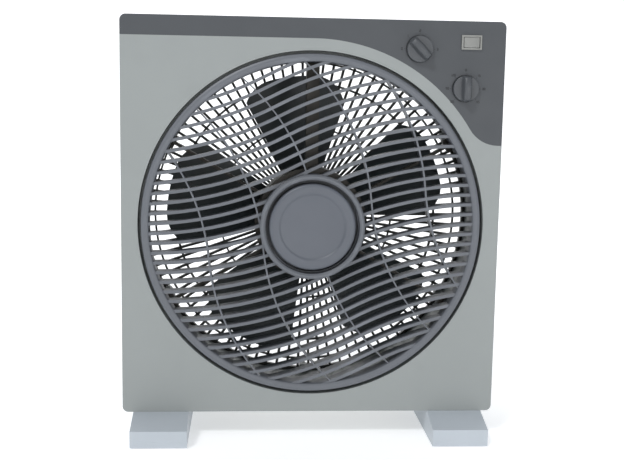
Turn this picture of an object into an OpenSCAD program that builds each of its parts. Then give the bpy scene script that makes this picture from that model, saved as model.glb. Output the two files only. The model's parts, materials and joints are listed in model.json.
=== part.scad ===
// Twelve-inch box fan with a rotating louvre grille, two dials and a swing rocker.
// +Z is up, the fan blows towards -Y, and the origin is on the floor under the middle.

/* [Body] */
// Width of the body
body_w = 385; // [380:1:400]
// Height of the body above its feet
body_h = 403; // [398:1:415]
// Depth of the body from its front face to its back face
body_d = 120; // [118:1:130]
// Thickness of the housing walls
wall = 3; // [2.5:0.5:3]
// Radius of the body's upright corner edges
corner_r = 6; // [4:1:8]
// Height of the fan axis above the underside of the body
axis_rise = 195; // [193:1:198]
// Height of the underside of the body above the floor
foot_h = 27; // [26:1:34]

/* [Louvre grille] */
// Outer radius of the rotating grille's ring
ring_r = 173.4; // [172:0.1:174]
// Radial width of the ring
ring_w = 8.7; // [7:0.1:10]
// Distance between two vanes
vane_pitch = 9.93; // [9:0.01:12]
// Thickness of a vane
vane_t = 3.1; // [1.6:0.1:3.4]
// Depth of the vanes and cross ribs
vane_depth = 13.5; // [10:0.5:14]
// Radius of the two arcs that make a vane's S
vane_arc_r = 357; // [340:1:400]
// Slope of a vane where it passes the middle
vane_slope = 27.9; // [20:0.1:30]
// Lean of the line that the vanes' middles follow
vane_lean = 19.3; // [10:0.1:25]
// Thickness of a cross rib
rib_t = 1.7; // [1.2:0.1:2.2]
// Distance between two cross ribs
rib_pitch = 55; // [50:1:60]
// Radius of the two arcs that make a cross rib's S
rib_arc_r = 215; // [205:1:260]
// Slope of a cross rib from upright where it passes the middle
rib_slope = 5.3; // [0:0.1:10]

/* [Fan] */
// Radius of the blade tips
blade_r = 153; // [140:1:154]
// Number of blades
blade_n = 5; // [3:1:6]
// Angle that one blade covers
blade_span = 46; // [38:1:50]
// Angle of the first blade's middle from the right
blade_phase = 24; // [0:1:71]
// Number of radial bars in the rear grille
spoke_n = 90; // [60:2:96]

/* [Controls] */
// Radius of the two dials
knob_r = 13.1; // [12:0.1:14]
// Distance of the dials from the fan axis
knob_orbit = 208; // [206:1:210]
// Angle of the speed dial above the horizontal
speed_angle = 59.7; // [59:0.1:61]
// Angle of the timer dial above the horizontal
timer_angle = 42.7; // [42:0.1:44]
// Turn of the speed dial's grip at rest
speed_turn = 45; // [0:5:90]

/* [Feet] */
// Width of a foot
foot_w = 57; // [50:1:60]
// Distance of each foot's middle from the middle of the body
foot_x = 153; // [150:1:155]
// Reach of a foot beyond the front and back faces
foot_reach = 36; // [30:1:40]
// Height of a foot's upright end faces
foot_toe = 18; // [14:1:20]

/* [Hidden] */

EPS = 0.01;
front_y = -body_d / 2;
back_y = body_d / 2;
floor_z = foot_h;
top_z = foot_h + body_h;
axis_z = foot_h + axis_rise;

// Duct that joins the front and back openings.
duct_r = ring_r + 2.8;
duct_t = 2.5;
duct_back_r = 182;
duct_flare = [30, 50];
flange_front = front_y + 15.6;
flange_w = 6.7;
screw_r = 1.65;
screw_gap = 0.05;
post_r = 5;
post_x = body_w / 2 - 7.5;
post_low = floor_z + 7.5;
post_high = top_z - 10;

// Control panel: a strip along the top that widens around the grille to the right edge.
strip_h = 20.2;
panel_arc_r = 188;
panel_low = floor_z + 279;
panel_fillet_r = 34;

// Louvre grille, from front to back.
ring_front = front_y - 2;
ring_back = front_y + 15;
vane_front = front_y;
pattern_x = 5.3;
pattern_z = 2.1;
hub_r = 53;
hub_front = front_y - 12;
groove_r = 47.9;
cap_r = 43.9;
cap_step_r = 34.3;
swing_shaft_r = 3.4;
vane_half = vane_arc_r * sin(vane_slope);
vane_count = 17;
arc_steps = 14;

// Motor bracket and motor, from front to back.
arm_front = front_y + 20;
arm_back = front_y + 34;
arm_t = 3;
arm_depth = 9;
lead_arm_t = 13;
arm_angles = [30, 150, 210, 330];
lug_r = 169;
lug_w = 14;
pod_r = 58;
pod_front = front_y + 16;
pod_back = front_y + 54;
motor_front = front_y + 34;
motor_back = front_y + 64;
bell_front = 10;
bell_back = 8;
bell_r = 46;
rotor_r = 24;
air_gap = 0.4;
shaft_r = 4;
running_gap = 0.05;
bolt_orbit = 38;

// Fan blade.
blade_mid = back_y - 37;
blade_hub_r = 45;
blade_hub_front = back_y - 53;
blade_hub_back = back_y - 24;
blade_t = 2.2;
blade_cols = 8;
blade_rows = 4;

// Rear grille.
guard_front = back_y - 9;
guard_t = 6;
guard_rings = [[97, 1.8], [146, 2.3], [168.5, 2]];
spoke_t = 2.6;
guard_hub_r = 34;
guard_rim_r = duct_back_r - 0.2;
guard_rim_w = 3.6;
guard_screw_r = duct_back_r - 4.8;
guard_screw_n = 6;

// Controls.
speed_x = knob_orbit * cos(speed_angle);
speed_z = axis_z + knob_orbit * sin(speed_angle);
timer_x = knob_orbit * cos(timer_angle);
timer_z = axis_z + knob_orbit * sin(timer_angle);
dial_shaft_r = 3;
knob_gap = 0.6;
rocker_x = 157.4;
rocker_z = floor_z + 382;
rocker_w = 17.8;
rocker_h = 12;
rocker_tilt = 7;
pin_r = 1.2;

// Carrying recess in the back, above the duct.
grip_w = 112;
grip_low = axis_z + duct_back_r + duct_t + 0.5;
grip_high = top_z - wall;
grip_deep = 34;
cup_t = 1.5;

module along_y(from, to) {
    translate([0, to, 0]) rotate([90, 0, 0]) linear_extrude(to - from) children();
}

module at_axis(y = 0) {
    translate([0, y, axis_z]) children();
}

// A profile in radius and depth, turned about the fan axis.
module turned(points) {
    at_axis() rotate([-90, 0, 0]) rotate_extrude() polygon(points);
}

module disc(r, from, to, hole = 0) {
    at_axis() along_y(from, to) difference() {
        circle(r);
        if (hole > 0) circle(hole);
    }
}

// The duct's inside, a little wider behind the motor bracket than at the front.
module duct_space(grow, from, to) {
    turned([[0, from], [duct_r + grow, from], [duct_r + grow, front_y + duct_flare[0]],
            [duct_back_r + grow, front_y + duct_flare[1]], [duct_back_r + grow, to], [0, to]]);
}

module rod(x, z, r, from, to) {
    translate([x, 0, z]) along_y(from, to) circle(r);
}

module tube(x, z, r, hole, from, to) {
    translate([x, 0, z]) along_y(from, to) difference() {
        circle(r);
        circle(hole);
    }
}

module block(x, z, w, h, from, to) {
    translate([x - w / 2, from, z - h / 2]) cube([w, to - from, h]);
}

module rounded(w, h, r) {
    square([w - 2 * r, h], center = true);
    square([w, h - 2 * r], center = true);
    for (sx = [-1, 1]) for (sz = [-1, 1]) {
        translate([sx * (w / 2 - r), sz * (h / 2 - r)]) circle(r);
    }
}

module body_outline(inset = 0) {
    translate([0, floor_z + body_h / 2]) {
        rounded(body_w - 2 * inset, body_h - 2 * inset, corner_r - inset);
    }
}

function pol(r, a) = [r * cos(a), r * sin(a)];

// The panel's lower edge: along the strip, around the grille, then out to the right edge.
fillet_z = panel_low + panel_fillet_r;
fillet_drop = fillet_z - axis_z;
fillet_x = sqrt(pow(panel_arc_r + panel_fillet_r, 2) - pow(fillet_drop, 2));
meet_angle = atan2(fillet_drop, fillet_x);

function panel_edge() = concat(
    [for (i = [0:24]) [0, axis_z] + pol(panel_arc_r, 90 - (90 - meet_angle) * i / 24)],
    [for (i = [1:8]) [fillet_x, fillet_z]
        + pol(panel_fillet_r, 180 + meet_angle + (90 - meet_angle) * i / 8)]);

module panel_region() {
    polygon(concat([[-body_w, top_z - strip_h + 0.2], [-1, top_z - strip_h + 0.2]],
        panel_edge(), [[body_w, panel_low], [body_w, top_z + 10], [-body_w, top_z + 10]]));
}

module panel_space() {
    along_y(front_y - 1, front_y + wall) panel_region();
    translate([-body_w, front_y - 1, top_z - wall]) cube([2 * body_w, body_d / 2 + 1, 20]);
}

module front_shell() {
    difference() {
        along_y(front_y, 0) body_outline();
        along_y(front_y + wall, 1) body_outline(wall);
    }
}

module front_housing() {
    color([0.63, 0.65, 0.65]) difference() {
        union() {
            difference() {
                front_shell();
                panel_space();
            }
            for (x = [-post_x, post_x]) for (z = [post_low, post_high]) {
                rod(x, z, post_r, front_y + 2 * wall, 0);
            }
            for (side = [-1, 1]) foot_bosses(side, front_y / 2);
        }
        disc(duct_r, front_y - 1, 1);
        for (x = [-post_x, post_x]) for (z = [post_low, post_high]) {
            rod(x, z, screw_r + screw_gap, -16, 1);
        }
        for (side = [-1, 1]) foot_screw_hole(side, front_y / 2);
    }
}

module rear_housing() {
    color([0.63, 0.65, 0.65]) difference() {
        union() {
            difference() {
                along_y(0, back_y) body_outline();
                along_y(-1, back_y - wall) body_outline(wall);
            }
            for (x = [-post_x, post_x]) for (z = [post_low, post_high]) {
                rod(x, z, post_r, 0, back_y - 1);
            }
            for (side = [-1, 1]) foot_bosses(side, -front_y / 2);
        }
        disc(duct_back_r, -1, back_y + 1);
        for (x = [-post_x, post_x]) for (z = [post_low, post_high]) {
            rod(x, z, screw_r + screw_gap, -1, back_y + 1);
            rod(x, z, 2 * screw_r + 0.3, back_y - 3, back_y + 1);
        }
        for (side = [-1, 1]) foot_screw_hole(side, -front_y / 2);
        block(0, (grip_low + grip_high) / 2, grip_w, grip_high - grip_low, 1, back_y + 1);
        rod(gland_x, gland_z, gland_r, back_y - 10, back_y + 1);
    }
}

// The duct stands between the front and back plates, and carries the bracket and the guard.
module air_duct() {
    color([0.63, 0.65, 0.65]) difference() {
        duct_space(duct_t, front_y + wall, back_y - wall);
        difference() {
            duct_space(0, front_y, back_y);
            for (a = arm_angles) lug(a, arm_back, arm_back + 6, 180);
            for (i = [0:guard_screw_n - 1]) guard_lug(i);
            disc(duct_r + 1, flange_front, flange_front + 4, duct_r - flange_w);
        }
        for (a = arm_angles) lug_hole(a);
        for (i = [0:guard_screw_n - 1]) guard_screw_hole(i);
        translate([0, arm_front + 9, axis_z]) cylinder(r = 3, h = duct_r + 20);
    }
}

// Lugs inside the duct that the motor bracket is screwed to.
module lug(a, from, to, reach) {
    intersection() {
        at_axis() rotate([0, -a, 0]) translate([lug_r - 7, from, -lug_w / 2]) {
            cube([25, to - from, lug_w]);
        }
        disc(reach, from - 1, to + 1);
    }
}

module lug_hole(a) {
    at_axis() rotate([0, -a, 0]) rotate([-90, 0, 0]) translate([lug_r, 0, front_y]) {
        cylinder(r = screw_r + screw_gap, h = body_d / 2);
    }
}

module guard_lug(i) {
    intersection() {
        at_axis() rotate([0, -30 - 60 * i, 0]) {
            translate([guard_screw_r - 4, guard_front - 8, -4.5]) cube([12, 8, 9]);
        }
        disc(duct_back_r + 1, 0, back_y);
    }
}

module guard_screw_hole(i) {
    at_axis() rotate([0, -30 - 60 * i, 0]) rotate([-90, 0, 0]) {
        translate([guard_screw_r, 0, guard_front - 7]) cylinder(r = 1.3, h = 30);
    }
}

module control_panel() {
    color([0.38, 0.40, 0.42]) difference() {
        union() {
            intersection() {
                front_shell();
                panel_space();
            }
            tube(speed_x, speed_z, dial_shaft_r + 2.5, dial_shaft_r + 1, front_y + wall - EPS,
                 front_y + wall + 2);
            tube(timer_x, timer_z, dial_shaft_r + 2.5, dial_shaft_r + 1, front_y + wall - EPS,
                 front_y + wall + 2);
        }
        rod(speed_x, speed_z, dial_shaft_r + 1, front_y - 1, front_y + 20);
        rod(timer_x, timer_z, dial_shaft_r + 1, front_y - 1, front_y + 20);
        rod(speed_x, speed_z, knob_r + 0.7, front_y - 1, front_y + 1);
        rod(timer_x, timer_z, knob_r + 0.7, front_y - 1, front_y + 1);
        block(rocker_x, rocker_z, rocker_w + 1.2, rocker_h + 1.2, front_y - 1, front_y + 20);
    }
}

// The housing's top wall closes this cup, and the fingers curl up behind it.
module handle_cup() {
    z = (grip_low + grip_high) / 2;
    h = grip_high - grip_low;
    color([0.38, 0.40, 0.42]) difference() {
        block(0, z, grip_w, h, back_y - grip_deep, back_y);
        block(0, z + cup_t, grip_w - 2 * cup_t, h, back_y - grip_deep + cup_t, back_y + 1);
    }
}

// The radial bars are joined flat and then given their depth; the rings cross them.
module rear_grille() {
    color([0.16, 0.17, 0.17]) {
        at_axis() along_y(guard_front, guard_front + guard_t) offset(delta = EPS) difference() {
            union() {
                circle(guard_hub_r, $fn = spoke_n);
                difference() {
                    circle(guard_rim_r - 2 * EPS, $fn = 2 * spoke_n);
                    circle(guard_rim_r - guard_rim_w, $fn = spoke_n);
                }
                for (i = [0:spoke_n - 1]) rotate(i * 360 / spoke_n) {
                    translate([guard_hub_r - 2, -spoke_t / 2]) {
                        square([guard_rim_r - guard_hub_r, spoke_t]);
                    }
                }
                for (i = [0:guard_screw_n - 1]) rotate(30 + 60 * i) {
                    translate([guard_screw_r, 0]) circle(4.2, $fn = 24);
                }
            }
            for (i = [0:guard_screw_n - 1]) rotate(30 + 60 * i) {
                translate([guard_screw_r, 0]) circle(1.4, $fn = 16);
            }
        }
        for (g = guard_rings) {
            disc(g[0] + g[1] / 2, guard_front + 1, guard_front + guard_t - 1, g[0] - g[1] / 2);
        }
    }
}

module motor_bracket() {
    color([0.27, 0.26, 0.24]) difference() {
        union() {
            disc(pod_r, pod_front, pod_back);
            for (a = arm_angles) arm(a, arm_t, arm_depth, lug_r - 4);
            arm(90, lead_arm_t, arm_back - arm_front, duct_r - 0.1);
            for (a = arm_angles) lug(a, arm_back - 6, arm_back, duct_r - 0.1);
        }
        disc(pod_r - 3, pod_front + 3, pod_back + 1);
        disc(5.5, pod_front - 1, pod_front + 4);
        for (a = arm_angles) lug_hole(a);
        for (i = [0:3]) bolt_line(i) cylinder(r = screw_r + screw_gap, h = body_d);
        translate([-4.5, arm_front + 3, axis_z + pod_r - 4]) cube([9, 20, duct_r]);
    }
    color([0.27, 0.26, 0.24]) difference() {
        for (i = [0:3]) bolt_line(i) translate([0, 0, pod_front + 2.5 - front_y]) {
            cylinder(r = 5, h = motor_front - pod_front - 2.5);
        }
        for (i = [0:3]) bolt_line(i) cylinder(r = screw_r + screw_gap, h = body_d);
    }
}

module arm(a, t, depth, reach) {
    intersection() {
        at_axis() rotate([0, -a, 0]) translate([pod_r - 2, arm_back - depth, -t / 2]) {
            cube([duct_r, depth, t]);
        }
        disc(reach, front_y, 0);
    }
}

// Lines of the four long motor screws, starting at the front face.
module bolt_line(i) {
    at_axis(front_y) rotate([0, -45 - 90 * i, 0]) translate([bolt_orbit, 0, 0]) {
        rotate([-90, 0, 0]) children();
    }
}

module swing_motor_body() {
    color([0.75, 0.76, 0.74]) difference() {
        union() {
            disc(24.5, pod_front + 3, pod_front + 17);
            disc(5, pod_front + 1, pod_front + 3);
        }
        disc(swing_shaft_r + running_gap, pod_front, pod_front + 12);
    }
}

module swing_motor_shaft() {
    color([0.80, 0.80, 0.80]) disc(swing_shaft_r, hub_front + 7, pod_front + 11.5);
}

// One vane or rib: an S of two equal arcs, given by its width and how far each way it runs.
function s_point(u, r, slope) = let (a = asin(sin(slope) - abs(u) / r))
    [u, sign(u) * r * (cos(a) - cos(slope))];
function s_dir(u, r, slope) = asin(sin(slope) - abs(u) / r);
function s_side(half, r, slope, shift) = [for (i = [-arc_steps:arc_steps])
    let (u = half * i / arc_steps, a = s_dir(u, r, slope))
    s_point(u, r, slope) + shift * [-sin(a), cos(a)]];

module s_strip(half, r, slope, t) {
    side = s_side(half, r, slope, -t / 2);
    other = s_side(half, r, slope, t / 2);
    last = len(other) - 1;
    polygon(concat(side, [for (i = [0:last]) other[last - i]]));
}

// A cross rib's S starts nearly upright and leans further out towards both its ends.
function rib_point(v) = let (a = asin(sin(rib_slope) + abs(v) / rib_arc_r))
    [sign(v) * rib_arc_r * (cos(rib_slope) - cos(a)), -v];
function rib_side(shift) = [for (i = [-arc_steps:arc_steps])
    let (v = 170 * i / arc_steps) rib_point(v) + [shift, 0]];

module rib_strip() {
    side = rib_side(-rib_t / 2);
    other = rib_side(rib_t / 2);
    last = len(other) - 1;
    polygon(concat(side, [for (i = [0:last]) other[last - i]]));
}

module vane_pattern() {
    translate([pattern_x, pattern_z]) {
        for (k = [-vane_count:vane_count]) {
            translate([k * vane_pitch * tan(vane_lean), -k * vane_pitch]) {
                s_strip(vane_half, vane_arc_r, vane_slope, vane_t);
                for (s = [-1, 1]) {
                    translate([s * (vane_half + 100), s * s_point(vane_half, vane_arc_r,
                               vane_slope)[1]]) square([201, vane_t], center = true);
                }
            }
        }
        for (j = [-2:2]) translate(s_point(j * rib_pitch, vane_arc_r, vane_slope)) rib_strip();
    }
}

module louvre_grille() {
    inner = ring_r - ring_w;
    color([0.44, 0.45, 0.49]) {
        turned([[inner, ring_front + 4], [inner + 1, ring_front + 1.2], [inner + 3, ring_front],
                [ring_r - 3, ring_front], [ring_r - 0.8, ring_front + 1.2],
                [ring_r, ring_front + 4], [ring_r, ring_back], [inner, ring_back]]);
        at_axis() along_y(vane_front, vane_front + vane_depth) offset(delta = EPS) {
            intersection() {
                difference() {
                    circle(inner + 1, $fn = 180);
                    circle(hub_r - 1, $fn = 120);
                }
                vane_pattern();
            }
        }
        turned([[swing_shaft_r, hub_front + 10], [8, hub_front + 10], [8, hub_front + 20],
                [groove_r - 1, hub_front + 20], [groove_r - 1, hub_front + 12],
                [groove_r, hub_front + 12], [groove_r, hub_front + 1.5],
                [groove_r + 1.6, hub_front], [hub_r - 1.6, hub_front],
                [hub_r, hub_front + 1.5], [hub_r, hub_front + 24], [8, hub_front + 24],
                [8, hub_front + 27], [swing_shaft_r, hub_front + 27]]);
    }
}

module louvre_nut() {
    color([0.30, 0.31, 0.33]) disc(9, hub_front + 6, hub_front + 10, swing_shaft_r);
}

module hub_cap() {
    color([0.43, 0.46, 0.49]) turned([[0, hub_front + 2.5], [cap_step_r - 2, hub_front + 2.5],
        [cap_step_r, hub_front + 1.5], [cap_r - 5, hub_front + 1], [cap_r - 1, hub_front + 1.6],
        [cap_r, hub_front + 3.4], [cap_r, hub_front + 20], [cap_r - 2, hub_front + 20],
        [cap_r - 2, hub_front + 4.5], [0, hub_front + 4.5]]);
}

module motor_front_bell() {
    difference() {
        color([0.62, 0.63, 0.62]) turned([[9, motor_front], [bell_r, motor_front],
            [bell_r, motor_front + bell_front], [bell_r - 4, motor_front + bell_front],
            [bell_r - 4, motor_front + 2], [9, motor_front + 2]]);
        for (i = [0:3]) bolt_line(i) cylinder(r = screw_r + screw_gap, h = body_d);
    }
}

module motor_rear_bell() {
    difference() {
        color([0.62, 0.63, 0.62]) turned([[9, motor_back - 2], [bell_r - 4, motor_back - 2],
            [bell_r - 4, motor_back - bell_back], [bell_r, motor_back - bell_back],
            [bell_r, motor_back], [9, motor_back]]);
        for (i = [0:3]) bolt_line(i) cylinder(r = screw_r + screw_gap, h = body_d);
    }
}

module stator_core() {
    color([0.45, 0.46, 0.48]) difference() {
        disc(bell_r, motor_front + bell_front, motor_back - bell_back, rotor_r + air_gap);
        for (i = [0:3]) bolt_line(i) cylinder(r = screw_r + screw_gap, h = body_d);
    }
}

module stator_windings() {
    color([0.62, 0.34, 0.16]) {
        disc(34, motor_front + 3.5, motor_front + bell_front, rotor_r + 3);
        disc(34, motor_back - bell_back, motor_back - 3, rotor_r + 3);
    }
}

module rotor_core() {
    color([0.55, 0.56, 0.58]) {
        disc(rotor_r, motor_front + bell_front, motor_back - bell_back, shaft_r);
    }
}

module motor_shaft() {
    color([0.80, 0.80, 0.80]) disc(shaft_r, motor_front + 1, blade_hub_back + 6);
}

module front_bush() {
    color([0.70, 0.55, 0.30]) disc(9, motor_front, motor_front + 5, shaft_r + running_gap);
}

module rear_bush() {
    color([0.70, 0.55, 0.30]) disc(9, motor_back - 5, motor_back, shaft_r + running_gap);
}

// Blade surface: s runs from the leading edge to the trailing edge, t from hub to tip.
function tip_r(s) = blade_r - 20 * pow(max(0, 1 - s / 0.3), 2.2)
    - 13 * pow(max(0, (s - 0.72) / 0.28), 2.2);
function blade_point(s, t, side) =
    let (r0 = blade_hub_r - 3,
         r = r0 + t * (tip_r(s) - r0),
         a = blade_phase - blade_span / 2 + blade_span * s,
         deep = 32 - 7 * t,
         bow = 5 * (4 * s * (1 - s) - 0.5),
         y = blade_mid + (0.5 - s) * deep + bow * 0.5 + side * blade_t / 2)
    [r * cos(a), y, r * sin(a)];

module blade() {
    nc = blade_cols + 1;
    nr = blade_rows + 1;
    half = nc * nr;
    points = [for (side = [-1, 1]) for (j = [0:blade_rows]) for (i = [0:blade_cols])
        blade_point(i / blade_cols, j / blade_rows, side)];
    front = [for (j = [0:blade_rows - 1]) for (i = [0:blade_cols - 1])
        let (p = j * nc + i) each [[p, p + 1, p + nc], [p + 1, p + nc + 1, p + nc]]];
    back = [for (f = front) [f[0] + half, f[2] + half, f[1] + half]];
    rim = concat([for (i = [0:blade_cols - 1]) i],
        [for (j = [0:blade_rows - 1]) j * nc + blade_cols],
        [for (i = [blade_cols:-1:1]) blade_rows * nc + i],
        [for (j = [blade_rows:-1:1]) j * nc]);
    n = len(rim);
    edge = [for (i = [0:n - 1]) let (a = rim[i], b = rim[(i + 1) % n])
        each [[a, a + half, b], [b, a + half, b + half]]];
    at_axis() polyhedron(points, concat(front, back, edge));
}

module fan_blade() {
    color([0.20, 0.23, 0.23]) difference() {
        union() {
            disc(blade_hub_r, blade_hub_front, blade_hub_back);
            for (i = [0:blade_n - 1]) at_axis() rotate([0, -360 * i / blade_n, 0]) {
                translate([0, 0, -axis_z]) blade();
            }
        }
        disc(blade_hub_r - 2.5, blade_hub_front - 1, blade_hub_back - 2.5, 10);
        disc(shaft_r, blade_hub_front - 1, blade_hub_back + 1);
    }
}

module blade_nut() {
    color([0.16, 0.17, 0.18]) difference() {
        disc(15, blade_hub_back, blade_hub_back + 8);
        disc(shaft_r, blade_hub_back - 1, blade_hub_back + 6);
    }
}

// A dial: a low skirt with a grip bar across it.
module knob(x, z, turn) {
    back = front_y - knob_gap;
    translate([x, 0, z]) rotate([0, turn, 0]) difference() {
        union() {
            along_y(back - 4, back) circle(knob_r);
            along_y(back - 13, back - 4) intersection() {
                circle(knob_r - 0.6);
                square([7, 3 * knob_r], center = true);
            }
        }
        along_y(back - 9, back + 1) circle(dial_shaft_r);
        translate([-0.5, back - 14, knob_r - 6]) cube([1, 2, 6]);
    }
}

module speed_knob() {
    color([0.38, 0.40, 0.42]) knob(speed_x, speed_z, -speed_turn);
}

module timer_knob() {
    color([0.38, 0.40, 0.42]) knob(timer_x, timer_z, 0);
}

module speed_shaft() {
    color([0.80, 0.80, 0.80]) rod(speed_x, speed_z, dial_shaft_r, front_y - 9, front_y + 12);
}

module timer_shaft() {
    color([0.80, 0.80, 0.80]) rod(timer_x, timer_z, dial_shaft_r, front_y - 9, front_y + 12);
}

module speed_switch() {
    color([0.85, 0.84, 0.78]) difference() {
        union() {
            block(speed_x, speed_z, 24, 22, front_y + wall + 2, front_y + wall + 16);
            for (i = [-1:1]) block(speed_x + 7 * i, speed_z, 4, 0.8, front_y + 18, front_y + 26);
        }
        rod(speed_x, speed_z, dial_shaft_r + running_gap, front_y, front_y + 12.5);
    }
}

module timer_body() {
    color([0.80, 0.80, 0.78]) difference() {
        block(timer_x, timer_z, 36, 34, front_y + wall + 2, front_y + wall + 26);
        rod(timer_x, timer_z, dial_shaft_r + running_gap, front_y, front_y + 12.5);
    }
}

// The button is a shallow V that rocks about an upright pin.
module rocker_button() {
    color([0.80, 0.79, 0.72]) difference() {
        translate([rocker_x, front_y, rocker_z]) rotate([0, 0, -rocker_tilt]) {
            translate([0, 0, -(rocker_h - 1.8) / 2]) linear_extrude(rocker_h - 1.8) {
                polygon([[-7.7, -2.9], [0, -1.6], [7.7, -2.9], [6.4, 4], [-6.4, 4]]);
            }
        }
        translate([rocker_x, front_y + 2, rocker_z - 10]) cylinder(r = pin_r + running_gap, h = 20);
    }
}

module rocker_pin() {
    color([0.80, 0.80, 0.80]) translate([rocker_x, front_y + 2, rocker_z - rocker_h / 2]) {
        cylinder(r = pin_r, h = rocker_h);
    }
}

module rocker_housing() {
    color([0.74, 0.73, 0.68]) difference() {
        union() {
            block(rocker_x, rocker_z, rocker_w + 2.6, rocker_h + 2.4, front_y - 1.6, front_y);
            block(rocker_x, rocker_z, rocker_w + 1, rocker_h + 1, front_y, front_y + 18);
        }
        block(rocker_x, rocker_z, rocker_w - 1, rocker_h - 1.2, front_y - 2, front_y + 10);
        translate([rocker_x, front_y + 2, rocker_z - rocker_h / 2]) cylinder(r = pin_r, h = rocker_h);
    }
}

module capacitor() {
    color([0.88, 0.87, 0.82]) block(160, floor_z + 24, 38, 18, front_y + wall, front_y + wall + 24);
}

module terminal_block() {
    color([0.86, 0.86, 0.84]) difference() {
        block(-150, top_z - 26, 36, 14, front_y + wall, front_y + wall + 12);
        for (i = [-1:1]) rod(-150 + 11 * i, top_z - 26, 2, front_y + wall + 4, front_y + wall + 20);
    }
}

module motor_leads() {
    color([0.75, 0.75, 0.76]) translate([0, arm_front + 9, axis_z + pod_r - 3]) {
        cylinder(r = 2.2, h = duct_r - pod_r + 12);
    }
}

gland_x = 150;
gland_z = floor_z + 24;
gland_r = 7;

module cord_gland() {
    color([0.12, 0.12, 0.12]) difference() {
        union() {
            rod(gland_x, gland_z, gland_r, back_y - wall, back_y);
            rod(gland_x, gland_z, gland_r + 2.5, back_y, back_y + 3);
            rod(gland_x, gland_z, gland_r + 1.5, back_y - wall - 3, back_y - wall);
        }
        rod(gland_x, gland_z, 3.6, back_y - 20, back_y + 10);
    }
}

// Feet, each a hollow block with sloping ends that lies from front to back.
module foot_profile(inset) {
    end = back_y + foot_reach - inset;
    polygon([[-end, 1], [end, 1], [end, foot_toe - inset], [back_y - inset, foot_h - inset],
             [-back_y + inset, foot_h - inset], [-end, foot_toe - inset]]);
}

module foot(side) {
    x = side * foot_x;
    color([0.67, 0.70, 0.73]) difference() {
        union() {
            difference() {
                translate([x - foot_w / 2, 0, 0]) rotate([90, 0, 90]) {
                    linear_extrude(foot_w) foot_profile(0);
                }
                translate([x - foot_w / 2 + 2.5, 0, -1]) rotate([90, 0, 90]) {
                    linear_extrude(foot_w - 5) foot_profile(2.5);
                }
            }
            for (y = [front_y / 2, -front_y / 2]) {
                translate([x, y, 8]) cylinder(r = 6, h = foot_h - 8);
            }
            for (y = [-1, 1]) translate([x, y * (back_y + foot_reach - 14), 1]) {
                cylinder(r = 10, h = foot_toe - 0.5);
            }
        }
        for (y = [front_y / 2, -front_y / 2]) {
            translate([x, y, 0]) cylinder(r = 2 + screw_gap, h = 40);
        }
        for (y = [-1, 1]) translate([x, y * (back_y + foot_reach - 14), -1]) {
            cylinder(r = 8, h = 3.5);
        }
    }
}

module foot_bosses(side, y) {
    translate([side * foot_x, y, floor_z]) cylinder(r = 6, h = 14);
}

module foot_screw_hole(side, y) {
    translate([side * foot_x, y, floor_z - 1]) cylinder(r = 2 + screw_gap, h = 14);
}

module foot_left() {
    foot(-1);
}

module foot_right() {
    foot(1);
}

module foot_pads() {
    color([0.15, 0.15, 0.15]) for (side = [-1, 1]) for (y = [-1, 1]) {
        translate([side * foot_x, y * (back_y + foot_reach - 14), 0]) cylinder(r = 8, h = 2.5);
    }
}

module foot_screws() {
    color([0.72, 0.72, 0.70]) for (side = [-1, 1]) for (y = [front_y / 2, -front_y / 2]) {
        translate([side * foot_x, y, 5.5]) cylinder(r = 4, h = 2.5);
        translate([side * foot_x, y, 7]) cylinder(r = 2, h = floor_z + 4);
    }
}

module housing_screws() {
    color([0.72, 0.72, 0.70]) for (x = [-post_x, post_x]) for (z = [post_low, post_high]) {
        rod(x, z, 2 * screw_r, back_y - 3, back_y - 0.5);
        rod(x, z, screw_r, -14, back_y - 2);
    }
}

module bracket_screws() {
    color([0.72, 0.72, 0.70]) for (a = arm_angles) {
        at_axis() rotate([0, -a, 0]) rotate([-90, 0, 0]) {
            translate([lug_r, 0, arm_back - 8.2]) cylinder(r = 3.2, h = 2.2);
            translate([lug_r, 0, arm_back - 7]) cylinder(r = screw_r, h = 11);
        }
    }
}

module motor_screws() {
    color([0.72, 0.72, 0.70]) for (i = [0:3]) bolt_line(i) {
        translate([0, 0, 13.5]) cylinder(r = 3.2, h = 2.5);
        translate([0, 0, 15]) cylinder(r = screw_r, h = motor_back - front_y - 14);
    }
}

module grille_screws() {
    color([0.72, 0.72, 0.70]) for (i = [0:guard_screw_n - 1]) {
        at_axis() rotate([0, -30 - 60 * i, 0]) rotate([-90, 0, 0]) {
            translate([guard_screw_r, 0, guard_front + guard_t]) cylinder(r = 2.6, h = 1.8);
            translate([guard_screw_r, 0, guard_front - 6]) cylinder(r = 1.25, h = guard_t + 7);
        }
    }
}

front_housing();
rear_housing();
air_duct();
control_panel();
handle_cup();
rear_grille();
motor_bracket();
swing_motor_body();
swing_motor_shaft();
louvre_grille();
louvre_nut();
hub_cap();
motor_front_bell();
motor_rear_bell();
stator_core();
stator_windings();
rotor_core();
motor_shaft();
front_bush();
rear_bush();
fan_blade();
blade_nut();
speed_knob();
speed_shaft();
speed_switch();
timer_knob();
timer_shaft();
timer_body();
rocker_button();
rocker_pin();
rocker_housing();
capacitor();
terminal_block();
motor_leads();
cord_gland();
foot_left();
foot_right();
foot_pads();
foot_screws();
housing_screws();
bracket_screws();
motor_screws();
grille_screws();
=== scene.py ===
import json
import math

import bpy
import bmesh
from mathutils import Matrix, Vector


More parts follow.
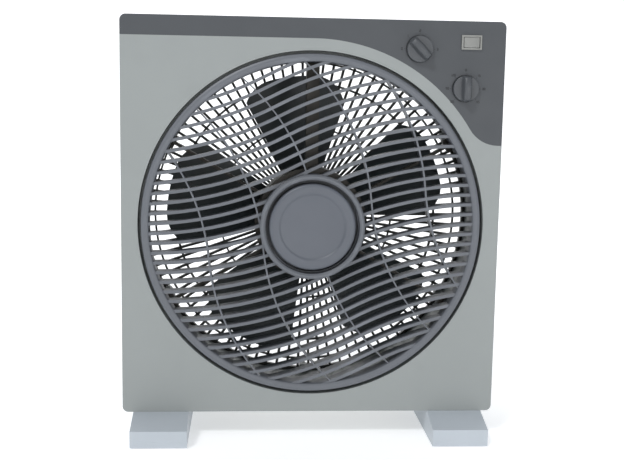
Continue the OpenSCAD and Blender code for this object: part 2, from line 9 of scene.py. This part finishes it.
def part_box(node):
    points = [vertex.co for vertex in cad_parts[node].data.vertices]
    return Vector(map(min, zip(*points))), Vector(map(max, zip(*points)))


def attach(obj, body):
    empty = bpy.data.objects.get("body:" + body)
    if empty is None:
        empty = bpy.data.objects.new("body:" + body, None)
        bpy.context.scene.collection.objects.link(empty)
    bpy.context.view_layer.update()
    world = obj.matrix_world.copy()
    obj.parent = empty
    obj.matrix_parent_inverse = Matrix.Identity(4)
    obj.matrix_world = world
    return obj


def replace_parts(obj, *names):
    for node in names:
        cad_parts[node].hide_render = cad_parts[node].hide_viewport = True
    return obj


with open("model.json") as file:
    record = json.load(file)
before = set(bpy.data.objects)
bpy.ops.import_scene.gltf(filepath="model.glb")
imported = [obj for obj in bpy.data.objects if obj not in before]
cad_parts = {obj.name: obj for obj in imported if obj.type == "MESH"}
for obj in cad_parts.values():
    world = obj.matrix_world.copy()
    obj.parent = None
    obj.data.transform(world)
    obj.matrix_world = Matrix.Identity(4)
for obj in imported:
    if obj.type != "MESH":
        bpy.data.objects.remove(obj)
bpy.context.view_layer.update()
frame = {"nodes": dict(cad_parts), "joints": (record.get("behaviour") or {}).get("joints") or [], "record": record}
NODES = frame["nodes"]
COLORS = {m["slot"]: tuple(m["base_color"]) for m in frame["record"]["materials"]}
SLOT_OF = {s["node"]: s["material_slot"] for s in frame["record"]["subparts"]}
MM = 0.001

# Places in mm, from the frame. The body is the box round both housings.
BODY_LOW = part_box("front_housing")[0] / MM
BODY_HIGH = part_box("rear_housing")[1] / MM
FRONT = round(BODY_LOW.y, 3)


def pivot(joint):
    """(x, z) of a joint whose axis runs along Y."""
    x, _, z = next(j["pos_m"] for j in frame["joints"] if j["name"] == joint)
    return x / MM, z / MM


AXIS = pivot("blade_spin")
SPEED = pivot("speed_turn")
TIMER = pivot("timer_turn")


def vec(x, y, z):
    return Vector((x * MM, y * MM, z * MM))


# ---------------------------------------------------------------- camera

CAMERA_AT = (-67.5, -1049.9, 351.0)
CAMERA_YAW = 0.06811
CAMERA_PITCH = 0.13336
CAMERA_ROLL = 0.01717


def look(location, yaw, pitch, roll):
    """Camera matrix for a camera that looks along +Y, turned right by yaw and down by pitch."""
    ahead = Vector((math.sin(yaw) * math.cos(pitch), math.cos(yaw) * math.cos(pitch),
                    -math.sin(pitch)))
    level = Vector((math.cos(yaw), -math.sin(yaw), 0))
    right = level * math.cos(roll) + level.cross(ahead) * math.sin(roll)
    rot = Matrix((right, right.cross(ahead), -ahead)).transposed().to_4x4()
    return Matrix.Translation(location) @ rot


def add_camera():
    data = bpy.data.cameras.new("camera")
    data.lens = 56.7
    data.sensor_width = 36
    data.clip_end = 50
    obj = bpy.data.objects.new("camera", data)
    bpy.context.scene.collection.objects.link(obj)
    obj.matrix_world = look(vec(*CAMERA_AT), CAMERA_YAW, CAMERA_PITCH, CAMERA_ROLL)
    bpy.context.scene.camera = obj
    bpy.context.scene.view_settings.view_transform = "Standard"


add_camera()

# ---------------------------------------------------------------- materials


def new_material(name):
    mat = bpy.data.materials.new(name)
    mat.use_nodes = True
    tree = mat.node_tree
    shader = tree.nodes["Principled BSDF"]
    return mat, tree, shader


def link(tree, a, b):
    tree.links.new(a, b)


def noise(tree, scale, detail=3.0, rough=0.55, stretch=None):
    coord = tree.nodes.new("ShaderNodeTexCoord")
    source = coord.outputs["Object"]
    if stretch:
        mapping = tree.nodes.new("ShaderNodeMapping")
        mapping.inputs["Scale"].default_value = stretch
        link(tree, source, mapping.inputs["Vector"])
        source = mapping.outputs["Vector"]
    tex = tree.nodes.new("ShaderNodeTexNoise")
    tex.inputs["Scale"].default_value = scale
    tex.inputs["Detail"].default_value = detail
    tex.inputs["Roughness"].default_value = rough
    link(tree, source, tex.inputs["Vector"])
    return tex.outputs["Fac"]


def ramp(tree, source, low, high, a, b):
    """Maps low..high of the source to a..b."""
    node = tree.nodes.new("ShaderNodeMapRange")
    node.inputs["From Min"].default_value = low
    node.inputs["From Max"].default_value = high
    node.inputs["To Min"].default_value = a
    node.inputs["To Max"].default_value = b
    link(tree, source, node.inputs["Value"])
    return node.outputs["Result"]


def mix(tree, fac, a, b):
    node = tree.nodes.new("ShaderNodeMix")
    node.data_type = "RGBA"
    link(tree, fac, node.inputs["Factor"])
    for socket, value in ((node.inputs["A"], a), (node.inputs["B"], b)):
        if isinstance(value, tuple):
            socket.default_value = value
        else:
            link(tree, value, socket)
    return node.outputs["Result"]


def grain_bump(tree, shader, height, strength, distance):
    node = tree.nodes.new("ShaderNodeBump")
    node.inputs["Strength"].default_value = strength
    node.inputs["Distance"].default_value = distance
    link(tree, height, node.inputs["Height"])
    link(tree, node.outputs["Normal"], shader.inputs["Normal"])


def shade(color, k):
    return tuple(min(1.0, c * k) for c in color[:3]) + (1.0,)


def edge_masks(tree, boxy):
    """Two masks, one on worn outer edges and one that darkens: painted shade in creases, but faint dust patches on
    a box-like piece.

    On a box-like piece a rounded edge is where the normal is far from all three axes."""
    geo = tree.nodes.new("ShaderNodeNewGeometry")
    if not boxy:
        # The second mask is painted shade: concave creases found from pointiness.
        return (ramp(tree, geo.outputs["Pointiness"], 0.52, 0.60, 0.0, 0.55),
                ramp(tree, geo.outputs["Pointiness"], 0.48, 0.42, 0.0, 0.45))
    size = tree.nodes.new("ShaderNodeVectorMath")
    size.operation = "ABSOLUTE"
    link(tree, geo.outputs["Normal"], size.inputs[0])
    parts = tree.nodes.new("ShaderNodeSeparateXYZ")
    link(tree, size.outputs["Vector"], parts.inputs["Vector"])
    top = parts.outputs["X"]
    for axis in ("Y", "Z"):
        larger = tree.nodes.new("ShaderNodeMath")
        larger.operation = "MAXIMUM"
        link(tree, top, larger.inputs[0])
        link(tree, parts.outputs[axis], larger.inputs[1])
        top = larger.outputs["Value"]
    # On a box-like piece the second mask is faint random dust patches.
    dust = noise(tree, 16.0, 5.0, 0.6)
    return ramp(tree, top, 0.98, 0.80, 0.0, 0.5), ramp(tree, dust, 0.56, 0.8, 0.0, 0.14)


def plastic(name, color, rough=0.45, grain=900.0, bump=0.12, wear=1.18, blotch=0.05, tint=None,
            coat=0.0, specular=0.5, boxy=False):
    """Moulded plastic: fine grain, faint cloudy colour, paler worn edges, and painted shade darkening the creases
    (faint dust patches instead on a box-like piece).
    """
    mat, tree, shader = new_material(name)
    cloud = noise(tree, 9.0, 4.0)
    base = mix(tree, ramp(tree, cloud, 0.35, 0.65, 0.0, 1.0),
               shade(color, 1 - blotch), shade(tint or color, 1 + blotch))
    edge, dust_and_crease_shade = edge_masks(tree, boxy)
    base = mix(tree, edge, base, shade(color, wear))
    # Painted shade in creases (dust patches on a box-like piece), at 0.72 of the colour.
    base = mix(tree, dust_and_crease_shade, base, shade(color, 0.72))
    link(tree, base, shader.inputs["Base Color"])
    patches = noise(tree, 38.0, 3.0)
    link(tree, ramp(tree, patches, 0.3, 0.7, rough - 0.05, rough + 0.06),
         shader.inputs["Roughness"])
    grain_bump(tree, shader, noise(tree, grain, 2.0, 0.6), bump, 0.0002)
    shader.inputs["Specular IOR Level"].default_value = specular
    shader.inputs["Coat Weight"].default_value = coat
    return mat


def metal(name, color, rough=0.32, stretch=(1, 1, 60), bump=0.08, metallic=1.0):
    """Machined or plated metal with fine turning lines and faint stains."""
    mat, tree, shader = new_material(name)
    stain = noise(tree, 24.0, 4.0)
    base = mix(tree, ramp(tree, stain, 0.3, 0.7, 0.0, 1.0), shade(color, 0.86),
               shade(color, 1.08))
    link(tree, base, shader.inputs["Base Color"])
    lines = noise(tree, 160.0, 3.0, 0.6, stretch)
    link(tree, ramp(tree, lines, 0.3, 0.7, rough - 0.08, rough + 0.12),
         shader.inputs["Roughness"])
    grain_bump(tree, shader, lines, bump, 0.0001)
    shader.inputs["Metallic"].default_value = metallic
    return mat


PLASTICS = {
    "housing_plastic": dict(rough=0.42, grain=1100, bump=0.10, wear=1.14, blotch=0.025, boxy=True),
    "panel_plastic": dict(rough=0.46, grain=1300, bump=0.16, wear=1.35, blotch=0.04, specular=0.4,
                          boxy=True),
    "guard_plastic": dict(rough=0.50, grain=800, bump=0.10, wear=1.5),
    "bracket_plastic": dict(rough=0.50, grain=800, wear=1.4, blotch=0.08),
    "louvre_plastic": dict(rough=0.40, grain=1200, bump=0.08, wear=1.5),
    "cap_plastic": dict(rough=0.38, grain=1300, bump=0.08, wear=1.3, blotch=0.06),
    "blade_plastic": dict(rough=0.34, grain=500, bump=0.05, wear=1.6, blotch=0.10,
                          tint=(0.045, 0.055, 0.06)),
    "foot_plastic": dict(rough=0.42, grain=1000, wear=1.12, blotch=0.03, boxy=True),
    "rocker_plastic": dict(rough=0.30, grain=1500, bump=0.03, wear=1.1, blotch=0.02, coat=0.2,
                           boxy=True),
    "bezel_plastic": dict(rough=0.32, grain=1500, bump=0.03, wear=1.2, blotch=0.03, coat=0.2,
                          boxy=True),
    "switch_plastic": dict(rough=0.50, grain=700, bump=0.10),
    "black_plastic": dict(bump=0.10, wear=2.0),
    "black_rubber": dict(rough=0.75, grain=600, bump=0.30, wear=1.8),
    "sleeve_rubber": dict(rough=0.60, grain=700, bump=0.20),
}
METALS = {
    "zinc_steel": dict(rough=0.35),
    "shaft_steel": dict(rough=0.22),
    "core_steel": dict(rough=0.42, stretch=(1, 90, 1), bump=0.40),
    "cast_aluminium": dict(rough=0.45, stretch=(1, 1, 1), bump=0.25),
    "bush_bronze": dict(rough=0.40),
    "winding_varnish": dict(rough=0.30, stretch=(1, 60, 1), bump=0.50, metallic=0.5),
}
MATS = {slot: plastic(slot, COLORS[slot], **finish) for slot, finish in PLASTICS.items()}
MATS.update({slot: metal(slot, COLORS[slot], **finish) for slot, finish in METALS.items()})
DIAL = plastic("dial_plastic", COLORS["panel_plastic"], rough=0.40, grain=1300, wear=1.6,
               blotch=0.04)
PRINT = plastic("panel_print", (0.030, 0.032, 0.036), rough=0.50, grain=1500, bump=0.02, wear=1.0,
                blotch=0.02)

for node, obj in NODES.items():
    obj.data.materials.clear()
    obj.data.materials.append(MATS[SLOT_OF[node]])

# ---------------------------------------------------------------- mesh helpers


def mesh_object(name, verts, faces, body, slot=None, mat=None, smooth=True):
    """A piece that rides on a body, in its slot's material unless another one is given."""
    mesh = bpy.data.meshes.new(name)
    mesh.from_pydata([tuple(v) for v in verts], [], faces)
    mesh.validate()
    bm = bmesh.new()
    bm.from_mesh(mesh)
    bmesh.ops.remove_doubles(bm, verts=bm.verts, dist=1e-7)
    bmesh.ops.recalc_face_normals(bm, faces=bm.faces)
    bm.to_mesh(mesh)
    bm.free()
    for poly in mesh.polygons:
        poly.use_smooth = smooth
    mesh.materials.append(mat or MATS[slot])
    obj = bpy.data.objects.new(name, mesh)
    bpy.context.scene.collection.objects.link(obj)
    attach(obj, body)
    return obj


SHARP = 32      # degrees between two faces from which their edge is rounded


def bevel(obj, width, angle=SHARP):
    mod = obj.modifiers.new("bevel", "BEVEL")
    mod.width = width * MM
    mod.segments = 2
    mod.limit_method = "ANGLE"
    mod.angle_limit = math.radians(angle)
    mod.use_clamp_overlap = True
    mod.miter_outer = "MITER_ARC"
    flat = obj.modifiers.new("normals", "WEIGHTED_NORMAL")
    flat.keep_sharp = False
    flat.weight = 90
    return mod


def soften(node, width):
    """Rounded edges on a CAD node, whose own mesh stays as it is."""
    obj = NODES[node]
    weld = obj.modifiers.new("weld", "WELD")
    weld.merge_threshold = 2e-6
    for poly in obj.data.polygons:
        poly.use_smooth = True
    return bevel(obj, width)


def sharp_edges(mesh):
    """The edges that are sharp, as (edge, middle in mm).

    The faces of a CAD mesh don't share vertices, so edges are matched by place."""
    places = [tuple(round(c * 1e5) for c in v.co) for v in mesh.vertices]
    sides = {}
    for poly in mesh.polygons:
        for a, b in poly.edge_keys:
            key = tuple(sorted((places[a], places[b])))
            sides.setdefault(key, []).append(poly.normal.copy())
    limit = math.cos(math.radians(SHARP))
    found = []
    for edge in mesh.edges:
        a, b = edge.vertices
        normals = sides.get(tuple(sorted((places[a], places[b]))), [])
        if len(normals) > 1 and min(n.dot(normals[0]) for n in normals) < limit:
            found.append((edge, (mesh.vertices[a].co + mesh.vertices[b].co) / 2 / MM))
    return found


# How near the body's box an edge is when it belongs to the body's rim.
RIM_X, RIM_Y, RIM_Z = 2.5, 1.0, 2.0


def on_rim(p):
    """True for a point in mm on the outline of the body's front or back face."""
    if BODY_LOW.y + RIM_Y < p.y < BODY_HIGH.y - RIM_Y:
        return False
    return (abs(p.x) > BODY_HIGH.x - RIM_X
            or p.z < BODY_LOW.z + RIM_Z or p.z > BODY_HIGH.z - RIM_Z)


def soften_shell(node, width=0.5, rim_width=3.0):
    """Rounded edges on a housing piece, with a larger radius round the body's rim."""
    obj = NODES[node]
    mod = soften(node, rim_width)
    mod.segments = 3
    mod.limit_method = "WEIGHT"
    flat = obj.modifiers.new("flat", "DECIMATE")
    flat.decimate_type = "DISSOLVE"
    flat.angle_limit = math.radians(0.2)
    obj.modifiers.move(obj.modifiers.find("flat"), 1)
    weights = obj.data.attributes.new("bevel_weight_edge", "FLOAT", "EDGE")
    for edge, middle in sharp_edges(obj.data):
        weights.data[edge.index].value = 1.0 if on_rim(middle) else width / rim_width


for name in ("front_housing", "control_panel", "rear_housing"):
    soften_shell(name)
for name, width in (("air_duct", 0.4), ("foot_left", 1.6), ("foot_right", 1.6),
                    ("motor_bracket", 0.5), ("louvre_grille", 0.45), ("rear_grille", 0.35),
                    ("rocker_button", 0.5), ("rocker_housing", 0.5), ("handle_cup", 0.6),
                    ("cord_gland", 0.5)):
    soften(name, width)


def lathe(name, profile, slot, body, steps):
    """A profile of (radius, y) in mm, turned about the fan axis."""
    cx, cz = AXIS
    verts, faces = [], []
    n = len(profile)
    for i in range(steps):
        a = 2 * math.pi * i / steps
        for r, y in profile:
            verts.append(vec(cx + r * math.cos(a), y, cz + r * math.sin(a)))
    for i in range(steps):
        j = (i + 1) % steps
        for k in range(n - 1):
            faces.append((i * n + k, j * n + k, j * n + k + 1, i * n + k + 1))
    return mesh_object(name, verts, faces, body, slot)


# ---------------------------------------------------------------- fan blade

BLADES = 5
BLADE_SPAN = 46.0       # degrees that a blade covers
BLADE_PHASE = 24.0      # degrees of the first blade's middle above the horizontal
BLADE_ROOT = 42.0       # radius of its root
BLADE_TIP = 153.0       # radius of its tip
BLADE_MID = 23.0        # y of its middle
BLADE_RISE = 32.0       # depth that it covers at the root
RISE_LOSS = 7.0         # how much less it covers at the tip
CAMBER = 2.5            # how far it bulges backwards
BLADE_T = 2.3           # thickness at the root
TAPER = 0.45            # share of the thickness that is lost towards the tip


def blade_point(s, t, side):
    """(radius, angle, y) at s across a blade and t along it, from 0 to 1, on one side of it."""
    lead = max(0.0, 1 - s / 0.3) ** 2.2
    trail = max(0.0, (s - 0.72) / 0.28) ** 2.2
    tip = BLADE_TIP - 20 * lead - 13 * trail
    y = BLADE_MID + (0.5 - s) * (BLADE_RISE - RISE_LOSS * t) + CAMBER * (4 * s * (1 - s) - 0.5)
    belly = 0.35 + 0.65 * math.sin(math.pi * min(max(s, 0.04), 0.96))
    thick = BLADE_T * (1 - TAPER * t) * belly
    angle = math.radians(BLADE_PHASE - BLADE_SPAN / 2 + BLADE_SPAN * s)
    return BLADE_ROOT + t * (tip - BLADE_ROOT), angle, y + side * thick / 2


def closed_sheets(first, cols, rows):
    """Faces of two sheets of cols by rows cells, one behind the other and joined round the edges."""
    def at(side, i, j):
        return first + (side * (rows + 1) + j) * (cols + 1) + i

    faces = []
    for side in (0, 1):
        for j in range(rows):
            for i in range(cols):
                faces.append((at(side, i, j), at(side, i + 1, j), at(side, i + 1, j + 1),
                              at(side, i, j + 1)))
    for i in range(cols):
        for j in (0, rows):
            faces.append((at(0, i, j), at(1, i, j), at(1, i + 1, j), at(0, i + 1, j)))
    for j in range(rows):
        for i in (0, cols):
            faces.append((at(0, i, j), at(1, i, j), at(1, i, j + 1), at(0, i, j + 1)))
    return faces


def fan_blades():
    """The pitched blades, which taper and have rounded tips."""
    cols, rows = 30, 20
    verts, faces = [], []
    for blade in range(BLADES):
        turn = -2 * math.pi * blade / BLADES
        faces += closed_sheets(len(verts), cols, rows)
        for side in (-1, 1):
            for j in range(rows + 1):
                for i in range(cols + 1):
                    r, a, y = blade_point(i / cols, j / rows, side)
                    verts.append(vec(AXIS[0] + r * math.cos(a + turn), y,
                                     AXIS[1] + r * math.sin(a + turn)))
    obj = mesh_object("fan_blades", verts, faces, "blade_rotor", "blade_plastic")
    bevel(obj, 0.35, angle=50)
    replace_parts(obj, "fan_blade")


def fan_hub():
    """A cup that is open to the front, with a boss round the shaft."""
    outer, inner, boss, bore = 45, 42.5, 10, 4
    front, back = 7.1, 36
    floor = back - 2.5
    profile = [(bore, front + 0.1), (boss - 0.6, front + 0.1), (boss, front + 0.7),
               (boss, floor - 1), (boss + 1, floor), (inner - 1.5, floor), (inner, floor - 1.5),
               (inner, front + 0.5), (inner + 0.5, front), (outer - 0.6, front),
               (outer, front + 0.6), (outer, back - 3), (outer - 0.8, back - 0.8),
               (outer - 2.6, back), (24, back), (23, back - 0.7), (19, back - 0.7), (18, back),
               (bore, back), (bore, front + 0.1)]
    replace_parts(lathe("fan_hub", profile, "blade_plastic", "blade_rotor", 96), "fan_blade")


fan_blades()
fan_hub()

# ---------------------------------------------------------------- hub cap


def hub_disc():
    """A shallow dished disc with a raised rim, and its skirt."""
    front = FRONT - 11.1
    outer, inner, step = 43.9, 41.9, 33.4
    profile = [(0, front + 1.9), (16, front + 1.8), (step - 1.8, front + 1.5),
               (step - 0.8, front + 1.3), (step, front + 0.6), (step + 0.8, front + 0.2),
               (step + 2.2, front + 0.2), (outer - 4.3, front), (outer - 2.3, front + 0.2),
               (outer - 0.9, front + 0.9), (outer - 0.2, front + 2.1), (outer, front + 3.5),
               (outer, front + 18.9), (outer - 0.4, front + 19.1), (inner + 0.2, front + 19.1),
               (inner, front + 18.7), (inner, front + 3.9), (inner - 0.9, front + 3.5),
               (0, front + 3.4)]
    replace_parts(lathe("hub_disc", profile, "cap_plastic", "louvre", 160), "hub_cap")


hub_disc()

# ---------------------------------------------------------------- dials

DIAL_R = 13.1
DIAL_BACK = FRONT - 0.6
SKIRT_H = 4.2
GRIP_H, GRIP_HALF_W, GRIP_HALF_L = 9.0, 3.7, 12.0


def grip_height(u, v):
    """How far the grip bar stands off the skirt, at u across the bar and v along it.

    The bar is crowned, a little wider in the middle, and its walls lean."""
    crest = GRIP_H - 0.02 * v * v - 0.06 * u * u
    half_w = GRIP_HALF_W + 0.05 * (13 - abs(v))
    wall = 1 / (1 + math.exp((abs(u) - half_w) / 0.32))
    end = 1 / (1 + math.exp((abs(v) - GRIP_HALF_L) / 0.25))
    return crest * wall * end


def dial(name, centre, turn, body, node):
    """A round skirt whose face rises into a tapered grip bar, turned clockwise in degrees."""
    rings, around, shaft_hole = 26, 96, 3.2
    face = [((DIAL_R - 0.7) * k / rings, None) for k in range(1, rings + 1)]
    edge = [(DIAL_R - 0.3, 4.05), (DIAL_R - 0.05, 3.6), (DIAL_R, 2.6), (DIAL_R, 0.3),
            (DIAL_R - 0.3, 0.0), (shaft_hole, 0.0)]
    points = [(0, 0, SKIRT_H + grip_height(0, 0))]
    for r, h in face + edge:
        for i in range(around):
            a = 2 * math.pi * i / around
            u, v = r * math.cos(a), r * math.sin(a)
            points.append((u, v, SKIRT_H + grip_height(u, v) if h is None else h))
    faces = [(0, 1 + i, 1 + (i + 1) % around) for i in range(around)]
    for k in range(len(face + edge) - 1):
        a, b = 1 + k * around, 1 + (k + 1) * around
        for i in range(around):
            j = (i + 1) % around
            faces.append((a + i, b + i, b + j, a + j))
    ct, st = math.cos(math.radians(turn)), math.sin(math.radians(turn))
    verts = [vec(centre[0] + u * ct + v * st, DIAL_BACK - h, centre[1] - u * st + v * ct)
             for u, v, h in points]
    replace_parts(mesh_object(name, verts, faces, body, "panel_plastic", DIAL), node)


dial("speed_dial_top", SPEED, -45, "speed_dial", "speed_knob")
dial("timer_dial_top", TIMER, 0, "timer_dial", "timer_knob")

# ---------------------------------------------------------------- printed marks

PRINT_T = 0.06
TICK_IN, TICK_OUT, TICK_W = 14.6, 15.8, 0.55
SEGMENTS = {"0": "abcdef", "1": "bc", "2": "abged", "3": "abgcd", "4": "fgbc", "5": "afgcd",
            "6": "afgedc", "9": "abcdfg"}


def patch(name, outlines):
    """Flat printed marks, each a closed outline of (x, z) in mm, standing just off the panel."""
    verts, faces = [], []
    for outline in outlines:
        n, first = len(outline), len(verts)
        for y in (FRONT, FRONT - PRINT_T):
            verts += [vec(x, y, z) for x, z in outline]
        faces.append(tuple(range(first + n, first + 2 * n)))
        for i in range(n):
            j = (i + 1) % n
            faces.append((first + i, first + j, first + n + j, first + n + i))
    mesh_object(name, verts, faces, "housing", mat=PRINT, smooth=False)


def tick(centre, angle):
    """A short radial bar, its angle measured clockwise from the top."""
    a = math.radians(angle)
    dx, dz = math.sin(a), math.cos(a)
    half = TICK_W / 2
    corners = ((TICK_IN, -half), (TICK_OUT, -half), (TICK_OUT, half), (TICK_IN, half))
    return [(centre[0] + r * dx + k * dz, centre[1] + r * dz - k * dx) for r, k in corners]


def digit(char, x, z, h):
    """A small numeral made of bars, as (middle x, middle z, width, height) each."""
    w, t = h * 0.55, h * 0.14
    bars = {"a": (0, h / 2, w, t), "g": (0, 0, w, t), "d": (0, -h / 2, w, t),
            "f": (-w / 2, h / 4, t, h / 2), "b": (w / 2, h / 4, t, h / 2),
            "e": (-w / 2, -h / 4, t, h / 2), "c": (w / 2, -h / 4, t, h / 2)}
    out = []
    for key in SEGMENTS[char]:
        bx, bz, bw, bh = bars[key]
        half_w, half_h = (bw + t * 0.9) / 2, (bh + t * 0.9) / 2
        out.append([(x + bx + i * half_w, z + bz + j * half_h)
                    for i, j in ((-1, -1), (1, -1), (1, 1), (-1, 1))])
    return out


def scale(centre, places, r, h):
    """Ticks round a dial, and numerals h high at radius r, from {degrees from the top: numeral}."""
    out = []
    for angle, text in places.items():
        out.append(tick(centre, angle))
        a = math.radians(angle)
        x, z = centre[0] + r * math.sin(a), centre[1] + r * math.cos(a)
        for k, char in enumerate(text):
            out += digit(char, x + (k - (len(text) - 1) / 2) * h * 0.95, z, h)
    return out


SPEED_PLACES = {-90: "0", -45: "1", 0: "2", 90: "3"}
TIMER_PLACES = {0: "0", 45: "15", 90: "30", 135: "45", -135: "60", -90: "90", -45: "120"}
patch("panel_marks", scale(SPEED, SPEED_PLACES, 18.0, 2.2) + scale(TIMER, TIMER_PLACES, 18.6, 2.0))

# ---------------------------------------------------------------- stage


def area_light(name, location, target, size, power):
    data = bpy.data.lights.new(name, "AREA")
    data.shape = "RECTANGLE"
    data.size, data.size_y = size
    data.energy = power
    obj = bpy.data.objects.new(name, data)
    bpy.context.scene.collection.objects.link(obj)
    obj.location = location
    obj.rotation_euler = (Vector(target) - Vector(location)).to_track_quat("-Z", "Y").to_euler()


def sky():
    world = bpy.data.worlds.new("studio")
    bpy.context.scene.world = world
    world.use_nodes = True
    background = world.node_tree.nodes["Background"]
    background.inputs["Color"].default_value = (0.95, 0.97, 1.0, 1)
    background.inputs["Strength"].default_value = 0.48


def backdrop():
    """A pale floor that bends up into a wall behind the fan, in metres."""
    near, bend, radius, top = -14.0, 2.6, 1.2, 5.0
    half_w, steps = 9, 16
    rows = [(near, 0.0)]
    for i in range(steps + 1):
        a = math.pi / 2 * i / steps
        rows.append((bend + radius * math.sin(a), radius - radius * math.cos(a)))
    rows.append((bend + radius, top))
    verts = [(x, y, z) for y, z in rows for x in (-half_w, half_w)]
    faces = [(2 * i, 2 * i + 1, 2 * i + 3, 2 * i + 2) for i in range(len(rows) - 1)]
    mesh = bpy.data.meshes.new("floor")
    mesh.from_pydata(verts, [], faces)
    for poly in mesh.polygons:
        poly.use_smooth = True
    obj = bpy.data.objects.new("floor", mesh)
    bpy.context.scene.collection.objects.link(obj)
    mat, tree, shader = new_material("floor_paper")
    base = mix(tree, ramp(tree, noise(tree, 3.0), 0.3, 0.7, 0.0, 1.0), (0.86, 0.87, 0.88, 1),
               (0.89, 0.90, 0.91, 1))
    link(tree, base, shader.inputs["Base Color"])
    shader.inputs["Roughness"].default_value = 0.9
    shader.inputs["Emission Color"].default_value = (1, 1, 1, 1)
    shader.inputs["Emission Strength"].default_value = 0.42
    mesh.materials.append(mat)


area_light("key", (-1.5, -2.3, 3.1), (0, 0, 0.2), (0.7, 0.7), 54)
area_light("fill", (0.7, -2.2, 0.5), (0, 0, 0.15), (1.8, 1.0), 8)
area_light("back", (0.0, 1.7, 2.1), (0, 2.6, 0.2), (3.4, 1.6), 22)
sky()
backdrop()
